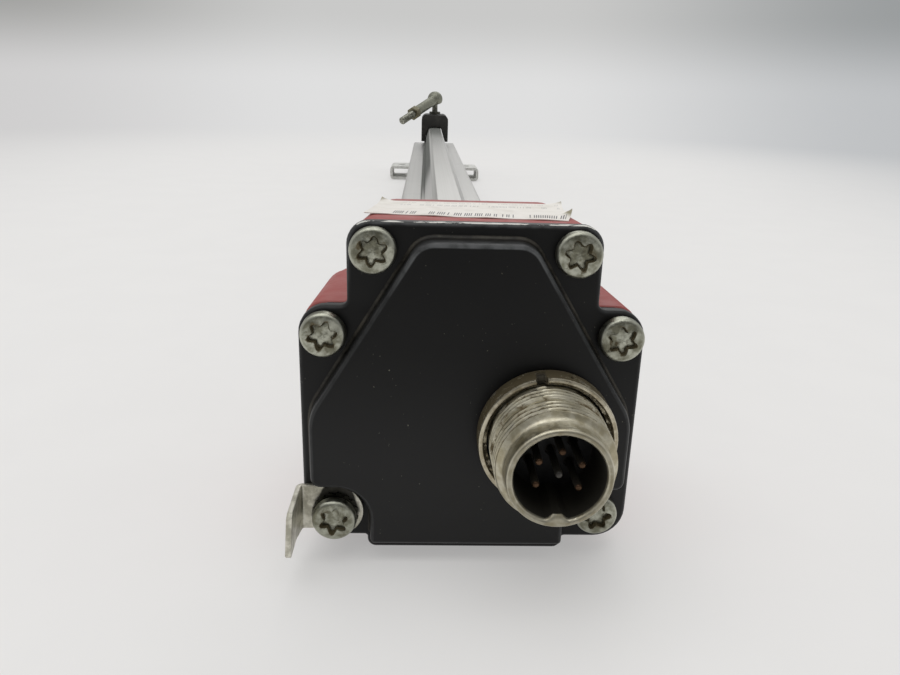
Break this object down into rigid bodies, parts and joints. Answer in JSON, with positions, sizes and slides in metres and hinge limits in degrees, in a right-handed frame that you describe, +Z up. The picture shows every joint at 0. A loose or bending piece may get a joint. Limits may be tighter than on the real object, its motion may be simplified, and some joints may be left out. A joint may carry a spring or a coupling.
{
  "type": "magnetostrictive position sensor",
  "caption": "Linear position sensor with a boxed electronics head, round screwed inlet, extruded rail, sliding magnet with a ball-jointed arm, and a folded mounting clamp.",
  "frame": {"origin": "on the underside of the head's foot, half way along the head and half way across it", "axes": "+X to the right seen from the inlet, +Y from the inlet along the rail, +Z up from the surface it lies on"},
  "size_m": [0.068, 0.5883, 0.065],
  "materials": {
    "black_enamel": "semi-gloss black enamel on a die casting",
    "red_enamel": "satin red enamel",
    "black_rubber": "matt black rubber",
    "black_nylon": "matt black glass-filled nylon",
    "white_plastic": "white acetal",
    "anodised_aluminium": "clear anodised extrusion",
    "cast_alloy": "plain die-cast alloy",
    "zinc_plated_steel": "zinc-plated steel",
    "tinned_brass": "tinned brass sheet",
    "nickel_plated_brass": "nickel-plated turned brass",
    "gold_plating": "gold-plated contact",
    "circuit_laminate": "green solder resist",
    "copper_winding": "enamelled copper",
    "ferrite": "plastic-bonded ferrite",
    "bright_steel": "bright steel"
  },
  "bodies": {
    "head": {"front_cover": "black_enamel", "front_gasket": "black_rubber", "electronics_housing": "red_enamel", "rear_gasket": "black_rubber", "rear_flange": "cast_alloy", "ground_tab": "tinned_brass", "ground_lock_washer": "zinc_plated_steel", "connector_shell": "nickel_plated_brass", "connector_ring_nut": "nickel_plated_brass", "connector_seal": "black_rubber", "connector_insert": "black_nylon", "connector_board": "circuit_laminate", "main_board": "circuit_laminate", "board_link": "black_nylon", "signal_processor": "black_nylon", "supply_capacitor": "cast_alloy", "waveguide_wire": "bright_steel", "return_wire": "copper_winding", "waveguide_tube": "white_plastic", "damping_sleeve": "black_rubber", "pickup_coil": "copper_winding", "pickup_bracket": "cast_alloy", "bias_magnet": "bright_steel", "profile_rail": "anodised_aluminium", "rail_end_cap": "cast_alloy", "cover_screw_top_left": "zinc_plated_steel", "cover_screw_shoulder_left": "zinc_plated_steel", "cover_screw_lower_left": "zinc_plated_steel", "end_cap_screw_left": "zinc_plated_steel", "rail_screw_left": "zinc_plated_steel", "cover_screw_top_right": "zinc_plated_steel", "cover_screw_shoulder_right": "zinc_plated_steel", "cover_screw_lower_right": "zinc_plated_steel", "end_cap_screw_right": "zinc_plated_steel", "rail_screw_right": "zinc_plated_steel", "contact_pin_centre": "gold_plating", "contact_pin_1": "gold_plating", "contact_pin_2": "gold_plating", "contact_pin_3": "gold_plating", "contact_pin_4": "gold_plating", "contact_pin_5": "gold_plating", "board_standoff_1": "bright_steel", "board_screw_1": "bright_steel", "board_standoff_2": "bright_steel", "board_screw_2": "bright_steel", "board_standoff_3": "bright_steel", "board_screw_3": "bright_steel", "board_standoff_4": "bright_steel", "board_screw_4": "bright_steel"},
    "clamp": {"mounting_clamp": "zinc_plated_steel"},
    "slider": {"slider_body": "black_nylon", "position_magnet": "ferrite", "ball_stud": "bright_steel"},
    "swivel": {"ball_seat": "white_plastic"},
    "arm": {"joint_socket_arm": "zinc_plated_steel", "arm_stud": "bright_steel", "arm_lock_nut": "zinc_plated_steel"}
  },
  "joints": [
    {"name": "slider_travel", "type": "slide", "parent": "head", "child": "slider", "axis": [0, 1, 0], "range_m": [-0.455, 0]},
    {"name": "clamp_slide", "type": "slide", "parent": "head", "child": "clamp", "axis": [0, 1, 0], "range_m": [-0.44, 0.05]},
    {"name": "arm_swivel", "type": "hinge", "parent": "slider", "child": "swivel", "pos_m": [0, 0.5325, 0.0589], "axis": [0, 0, 1], "continuous": true},
    {"name": "arm_tilt", "type": "hinge", "parent": "swivel", "child": "arm", "pos_m": [0, 0.5325, 0.0589], "axis": [-0.8581, 0.5135, 0], "range_deg": [0, 36]}
  ]
}
